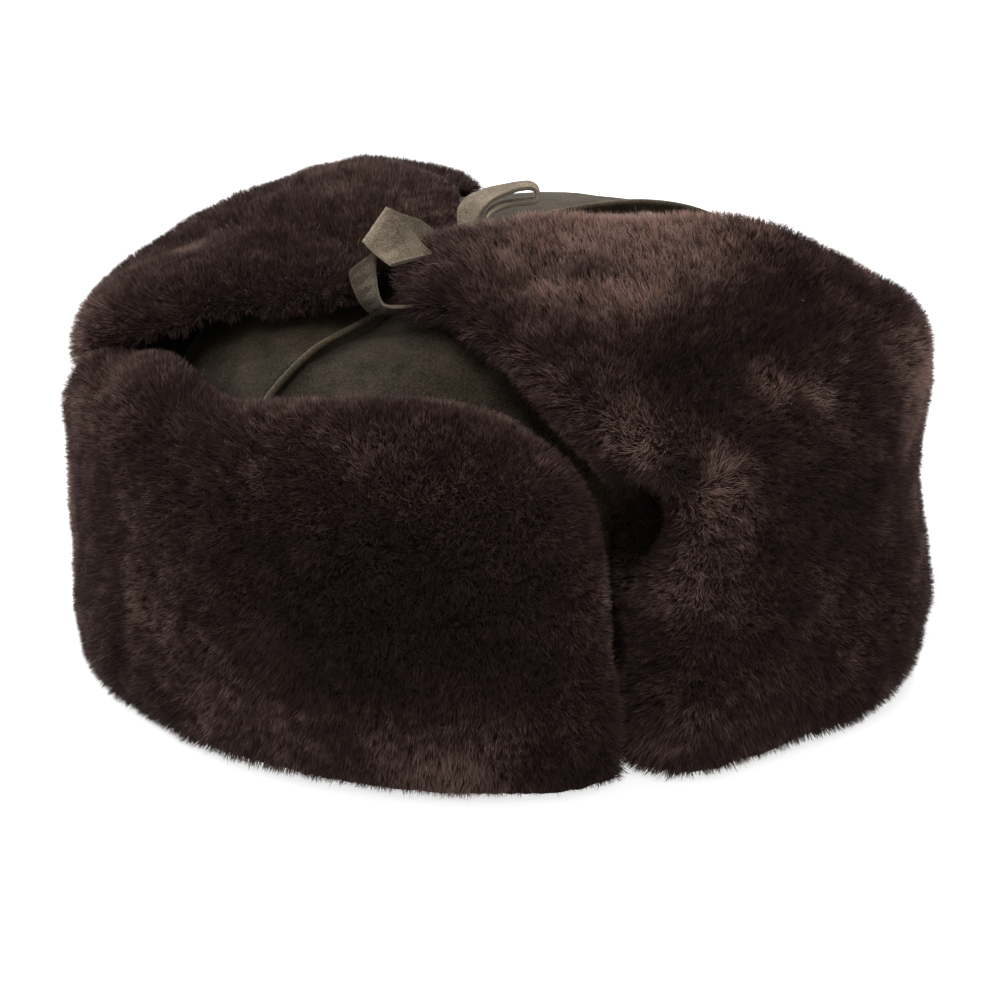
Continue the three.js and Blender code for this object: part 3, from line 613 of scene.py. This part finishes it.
def scatter(bed, per_mm2, random):
    """Random roots on the furry side of a bed, with the surface's normal and the pile's depth there"""
    mesh = bed["mesh"]
    mesh.calc_loop_triangles()
    corners = np.zeros(len(mesh.loop_triangles) * 3, np.int32)
    mesh.loop_triangles.foreach_get("vertices", corners)
    corners = corners.reshape(-1, 3)
    points = coordinates(mesh)
    facing = normals(mesh)
    a, b, c = (points[corners[:, index]] for index in range(3))
    area = np.linalg.norm(np.cross(b - a, c - a), axis=1) / 2 / MM ** 2
    furry = area * bed["shown"][corners].mean(1)
    count = int(furry.sum() * per_mm2 * (1))
    chosen = corners[random.choice(len(corners), size=count, p=furry / furry.sum())]
    share = np.sqrt(random.random(count))
    split = random.random(count)
    mix = np.stack([1 - share, share * (1 - split), share * split], axis=1)
    root = (points[chosen] * mix[..., None]).sum(1)
    normal = unit((facing[chosen] * mix[..., None]).sum(1))
    depth = (bed["depth"][chosen] * mix).sum(1)
    return root, normal, depth


def brushing_and_painted_light(points, facing):
    """How much paler and longer the pile is at each point, and which way it leans; the paleness holds
    painted light and painted shade as well as the brushed tone
    """
    paleness_and_painted_light = np.zeros(len(points))
    longer = np.zeros(len(points))
    lean = layered(noise_vectors, points, LEAN_WAVES)
    lean[:, 2] += (points[:, 2] - EVEN_HEIGHT) / EVEN_HEIGHT * UPWARD_LEAN
    for patch in BRUSHED_AND_PAINTED_LIGHT:
        near = hump(points, patch["at"], patch["fade"])
        paleness_and_painted_light += near * patch["paleness_and_painted_light"]
        longer += near * patch["longer"]
        lean += near[:, None] * np.array(patch["lean"])
    for curl in CURLS:
        spin = np.cross(facing, points - hat_point(curl["at"]))
        lean += unit(spin) * (hump(points, curl["at"], curl["fade"]) * curl["turn"])[:, None]
    return paleness_and_painted_light, longer, lean


def lock_leaders(roots, per_lock, random):
    """For each hair, the index of the hair that its lock gathers round"""
    count = len(roots)
    leaders = random.choice(count, size=max(count // per_lock, 1), replace=False)
    finder = kdtree.KDTree(len(leaders))
    for place, index in enumerate(leaders):
        finder.insert(roots[index], place)
    finder.balance()
    nearest = [finder.find(root)[1] for root in roots]
    return leaders[nearest]


def standing(depth):
    """The share of its full length that a hair has: less where the bed was drawn in less"""
    return SHORTEST_SHARE + (1 - SHORTEST_SHARE) * depth / BED_DEPTH


def plant(name, vertices, triangles, values, material):
    """Makes hairs from arrays of their corners, and keeps them off the floor"""
    vertices[..., 2] = np.maximum(vertices[..., 2], LOWEST)
    return soup(name, vertices.reshape(-1, 3), triangles, values, material)


def grow_pile(node, bed, material, seed):
    """The dense sheared pile: one thin pointed triangle for each hair"""
    random = np.random.default_rng(seed)
    root, normal, depth = scatter(bed, PILE_PER_MM2, random)
    count = len(root)
    paleness_and_painted_light, longer, lean = brushing_and_painted_light(root, normal)
    way = unit(normal + lean + random.normal(size=(count, 3)) * PILE_STRAY)
    uneven = 0.85 + 0.08 * noise(root, 9 * MM, seed + 5) + 0.3 * random.random(count)
    length = PILE_LENGTH * standing(depth) * uneven * (1 + longer) * smoothstep(*BARE_TO_FURRED, paleness_and_painted_light)
    tip = root + way * length[:, None]
    leader = lock_leaders(root, PILE_PER_LOCK, random)
    tip = tip * (1 - LOCK_PULL) + tip[leader] * LOCK_PULL
    base = root - normal * ROOT_DEPTH
    across = unit(np.cross(unit(tip - base), normal + random.normal(size=(count, 3)) * PILE_TWIST))
    half = across * (PILE_WIDTH / 2 * (0.7 + 0.6 * random.random(count)))[:, None]
    # The tone: lumpy and random from lock to lock, plus the table's painted light and painted shade
    tone = PLAIN_TONE + paleness_and_painted_light + 0.1 * noise(root, 4 * MM, seed + 9) + 0.12 * noise(root, 9 * MM, 77)
    tone += 0.12 * (random.random(count) - 0.5) + 0.05 * random.normal(size=count)[leader]
    tone = np.clip(tone, DARKEST_TONE, 1)
    vertices = np.stack([base - half, base + half, tip], axis=1)
    triangles = np.arange(count * 3).reshape(-1, 3)
    values = {"along": np.tile(PILE_ALONG, count), "tone": np.repeat(tone, 3)}
    hairs = plant(node + "_pile", vertices, triangles, values, material)
    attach(hairs, "root")


def grow_guards(node, bed, material, seed):
    """Longer, curved hairs that stand a little proud of the pile, as tapering strips"""
    random = np.random.default_rng(seed)
    root, normal, depth = scatter(bed, GUARDS_PER_MM2, random)
    count = len(root)
    paleness_and_painted_light, longer, lean = brushing_and_painted_light(root, normal)
    stray = random.normal(size=(count, 3)) * GUARD_STRAY
    length = GUARD_LENGTH * standing(depth) * (0.75 + 0.4 * random.random(count)) * (1 + longer)
    spine = [root]
    for bend in GUARD_BENDS:
        way = unit(normal + (lean + stray) * bend)
        spine.append(spine[-1] + way * (length / len(GUARD_BENDS))[:, None])
    across = unit(np.cross(spine[-1] - root, normal + random.normal(size=(count, 3)) * GUARD_TWIST))
    rows = []
    for place, width in zip(spine[:-1], GUARD_TAPER):
        half = across * (GUARD_WIDTH * width / 2)
        rows += [place - half, place + half]
    vertices = np.stack([*rows, spine[-1]], axis=1)
    triangles = (GUARD_STRIP[None] + np.arange(count)[:, None, None] * GUARD_CORNERS).reshape(-1, 3)
    # The guards' tone takes most of the same painted light and painted shade as the pile
    tone = np.clip(PLAIN_TONE + paleness_and_painted_light * 0.7 + 0.2 * (random.random(count) - 0.5), DARKEST_TONE, 1)
    values = {"along": np.tile(GUARD_ALONG, count), "tone": np.repeat(tone, GUARD_CORNERS)}
    hairs = plant(node + "_guards", vertices, triangles, values, material)
    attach(hairs, "root")


# Crown


def dome_point(side, alpha, beta):
    """A point of the head shell's dome: alpha turns from front to back, beta from the seam to the side"""
    x = max(math.sin(beta) * SHELL_HALF_WIDTH, SEAM_HALF)
    y = math.cos(beta) * math.sin(alpha) * SHELL_HALF_LENGTH
    z = math.cos(beta) * math.cos(alpha) * SHELL_RISE
    return SHELL_CENTRE + Vector((side * x, y, SHELL_WALL_TOP + z))


def wall_point(side, around, down):
    """A point of the wall under the dome: around runs from the front seam to the back one"""
    x = max(math.sin(math.pi * around) * SHELL_HALF_WIDTH, SEAM_HALF)
    y = -math.cos(math.pi * around) * SHELL_HALF_LENGTH
    z = SHELL_WALL_TOP + (SHELL_HEM - SHELL_WALL_TOP) * down
    return SHELL_CENTRE + Vector((side * x, y, z))


def dented(positions):
    """The crown's points with the dent in front of the bow, under the tips of the ear flaps"""
    lowered = positions.copy()
    lowered[:, 2] -= hump(positions, DENT["at"], DENT["fade"]) * DENT["depth"]
    return lowered


def add_grid(points, faces, place, across, down, turned):
    first = len(points)
    for i in range(across + 1):
        for j in range(down + 1):
            points.append(place(i / across, j / down))
    for i in range(across):
        for j in range(down):
            corner = first + i * (down + 1) + j
            face = (corner, corner + 1, corner + down + 2, corner + down + 1)
            faces.append(face[::-1] if turned else face)


def crown_panel(node, side, material):
    """Half of the head shell: dome and wall in one sheet of suede, gathered slightly along the seam"""
    points = []
    faces = []
    quarter = math.pi / 2
    add_grid(points, faces, lambda u, v: dome_point(side, math.pi * u - quarter, quarter * v),
             CROWN_COLUMNS, CROWN_ROWS, side < 0)
    add_grid(points, faces, lambda u, v: wall_point(side, u, v), CROWN_ROWS * 2, WALL_ROWS, side < 0)
    piece = make_object(node + "_suede", points, faces, material)
    weld = piece.modifiers.new("weld", "WELD")
    weld.merge_threshold = CROWN_WELD
    apply_modifiers(piece)
    mesh = piece.data
    positions = coordinates(mesh)
    facing = normals(mesh)
    outwards = np.sign((facing * (positions - np.array(SHELL_CENTRE))).sum(1).mean())
    from_seam = np.abs(positions[:, 0] - SHELL_CENTRE.x)
    waves = layered(noise, positions, CROWN_WAVES)
    gathers = noise(positions * [0.3, 1, 1], PUCKER["size"], PUCKER["seed"]) * PUCKER["height"]
    pucker = gathers * np.exp(-from_seam / PUCKER["reach"])
    groove = GROOVE["depth"] * np.exp(-((from_seam / GROOVE["reach"]) ** 2))
    on_dome = smoothstep(*DOME_EDGE, positions[:, 2] - SHELL_WALL_TOP)
    height = (waves + pucker - groove - CROWN_DRAWN_IN) * on_dome
    move_vertices(mesh, dented(positions + facing * outwards * height[:, None]))
    thick = piece.modifiers.new("leather", "SOLIDIFY")
    thick.thickness = LEATHER
    thick.offset = -outwards
    apply_modifiers(piece)
    piece.data.shade_smooth()
    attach(piece, "root")
    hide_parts(node)


def seam_place(way, dome):
    """Place and outward direction along the seam, way metres from its top"""
    sign = -1 if way < 0 else 1
    if abs(way) > dome:
        place = Vector((0, sign * SHELL_HALF_LENGTH, SHELL_WALL_TOP - (abs(way) - dome)))
        return SHELL_CENTRE + place, Vector((0, sign, 0))
    angle = way / dome * math.pi / 2
    place = Vector((0, SHELL_HALF_LENGTH * math.sin(angle), SHELL_WALL_TOP + SHELL_RISE * math.cos(angle)))
    out = Vector((0, math.sin(angle) / SHELL_HALF_LENGTH, math.cos(angle) / SHELL_RISE)).normalized()
    return SHELL_CENTRE + place, out


def welt_section():
    """The welt's outline across the seam: how far to the side and how far out"""
    section = [(WELT_STEM, -LEATHER), (WELT_STEM, 0)]
    for index in range(WELT_ARC):
        angle = math.radians(WELT_ARC_FROM + WELT_ARC_SWEEP * index / (WELT_ARC - 1))
        section.append((WELT_HEAD * math.cos(angle), WELT_HEIGHT * (WELT_LIFT + math.sin(angle))))
    return section + [(-WELT_STEM, 0), (-WELT_STEM, -LEATHER)]


def crown_welt(material):
    """The raised cord of leather along the seam, with its stem between the two panels"""
    section = welt_section()
    dome = (math.pi / 2) * math.hypot(SHELL_HALF_LENGTH, SHELL_RISE) / math.sqrt(2)
    whole = 2 * (SHELL_WALL_TOP - SHELL_HEM + dome)
    points = []
    for step in range(WELT_STEPS + 1):
        place, out = seam_place(whole * (step / WELT_STEPS - 0.5), dome)
        for across, high in section:
            points.append(place + out * high + Vector((across, 0, 0)))
    count = len(section)
    faces = []
    for step in range(WELT_STEPS):
        for index in range(count):
            a = step * count + index
            b = step * count + (index + 1) % count
            faces.append((a, b, b + count, a + count))
    faces.append(tuple(range(count))[::-1])
    faces.append(tuple(range(WELT_STEPS * count, (WELT_STEPS + 1) * count)))
    piece = make_object("crown_welt_suede", points, faces, material)
    positions = coordinates(piece.data)
    wander = noise(positions * [0, 1, 1], WELT_WANDER["size"], WELT_WANDER["seed"])
    positions[:, 0] += wander * WELT_WANDER["width"]
    move_vertices(piece.data, dented(positions))
    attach(piece, "root")
    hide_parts("crown_welt")


# Ties


def tie(node, material):
    """A tie: the solid's own strap, with soft edges and a slightly uneven surface"""
    piece = copy_of_solid(node, node + "_suede", material)
    weld = piece.modifiers.new("weld", "WELD")
    weld.merge_threshold = TIE_WELD
    edge = piece.modifiers.new("edge", "BEVEL")
    edge.width = TIE_EDGE
    edge.segments = 2
    edge.angle_limit = TIE_SHARP
    fine = piece.modifiers.new("fine", "SUBSURF")
    fine.subdivision_type = "SIMPLE"
    fine.levels = 2
    soft = piece.modifiers.new("soft", "SMOOTH")
    soft.factor = 0.5
    soft.iterations = 1
    apply_modifiers(piece)
    mesh = piece.data
    positions = coordinates(mesh)
    facing = normals(mesh)
    rim = smoothstep(*CUT_EDGE, thickness_at(mesh, positions, facing))
    layer = mesh.attributes.new("rim", "FLOAT", "POINT")
    layer.data.foreach_set("value", rim.astype(np.float32))
    uneven = noise(positions, TIE_UNEVEN["size"], TIE_UNEVEN["seed"]) * TIE_UNEVEN["height"]
    move_vertices(mesh, positions + facing * uneven[:, None])
    mesh.shade_smooth()
    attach(piece, "root")
    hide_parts(node)


# Stage


def area_light(name, place, size, watts):
    data = bpy.data.lights.new(name, "AREA")
    data.shape = "RECTANGLE"
    data.size, data.size_y = size
    data.energy = watts
    light = bpy.data.objects.new(name, data)
    light.location = place
    light.rotation_mode = "QUATERNION"
    light.rotation_quaternion = (SHELL_CENTRE + LIGHT_AIM - Vector(place)).to_track_quat("-Z", "Y")
    link(light)


def make_camera():
    toward = Vector((
        math.sin(CAMERA_AZIMUTH) * math.cos(CAMERA_ELEVATION),
        -math.cos(CAMERA_AZIMUTH) * math.cos(CAMERA_ELEVATION),
        math.sin(CAMERA_ELEVATION),
    ))
    right = Vector((math.cos(CAMERA_AZIMUTH), math.sin(CAMERA_AZIMUTH), 0))
    up = toward.cross(right)
    target = SHELL_CENTRE + Vector((0, 0, TARGET_HEIGHT))
    data = bpy.data.cameras.new("camera")
    data.lens = CAMERA_LENS
    data.sensor_width = SENSOR_WIDTH
    data.clip_end = 50
    camera = bpy.data.objects.new("camera", data)
    camera.location = target + toward * CAMERA_DISTANCE
    aim = target + right * AIM_RIGHT + up * AIM_UP
    camera.rotation_mode = "QUATERNION"
    camera.rotation_quaternion = (aim - camera.location).to_track_quat("-Z", "Y")
    bpy.context.scene.camera = link(camera)


def make_floor():
    half = FLOOR_HALF
    material, _, shader = new_material("floor")
    shader.inputs["Base Color"].default_value = FLOOR_COLOR
    shader.inputs["Roughness"].default_value = 0.9
    shader.inputs["Emission Color"].default_value = WHITE
    shader.inputs["Emission Strength"].default_value = FLOOR_GLOW
    corners = [(-half, -half, 0), (half, -half, 0), (half, half, 0), (-half, half, 0)]
    make_object("floor", corners, [(0, 1, 2, 3)], material, smooth=False)


def make_world():
    """White behind the hat, and a much softer white light from all round it"""
    world = bpy.data.worlds.new("studio")
    bpy.context.scene.world = world
    world.use_nodes = True
    tree = world.node_tree
    seen = tree.nodes["Background"]
    seen.inputs["Strength"].default_value = 1.0
    seen.inputs["Color"].default_value = WHITE
    lighting = tree.nodes.new("ShaderNodeBackground")
    lighting.inputs["Color"].default_value = WHITE
    lighting.inputs["Strength"].default_value = SURROUNDING_LIGHT
    path = tree.nodes.new("ShaderNodeLightPath")
    choose = tree.nodes.new("ShaderNodeMixShader")
    tree.links.new(path.outputs["Is Camera Ray"], choose.inputs["Fac"])
    tree.links.new(lighting.outputs["Background"], choose.inputs[1])
    tree.links.new(seen.outputs["Background"], choose.inputs[2])
    tree.links.new(choose.outputs["Shader"], tree.nodes["World Output"].inputs["Surface"])


make_camera()
bpy.context.scene.view_settings.view_transform = "Standard"
make_floor()
make_world()
for light_values in LIGHTS:
    area_light(**light_values)

fur_look = fur_material()
bed_look = bed_material()
crown_look = suede_material("crown_suede", **CROWN_SUEDE)
welt_look = suede_material("welt_suede", **WELT_SUEDE)
tie_look = suede_material("tie_suede", **TIE_SUEDE)
painted_shade_tie_look = suede_material("painted_shade_tie_suede", **PAINTED_SHADE_TIE_SUEDE)

crown_panel("crown_left", 1, crown_look)
crown_panel("crown_right", -1, crown_look)
crown_welt(welt_look)
for number, flap in enumerate(FLAPS):
    flap_bed = fur_bed(flap, bed_look)
    grow_pile(flap, flap_bed, fur_look, PILE_SEED + number * SEED_STEP)
    grow_guards(flap, flap_bed, fur_look, GUARD_SEED + number * SEED_STEP)
# The left tie gets the darker copy of the suede, painted shade between the flaps
tie("tie_left", painted_shade_tie_look)
for strap in ("tie_right", "tie_bow", "tie_knot"):
    tie(strap, tie_look)
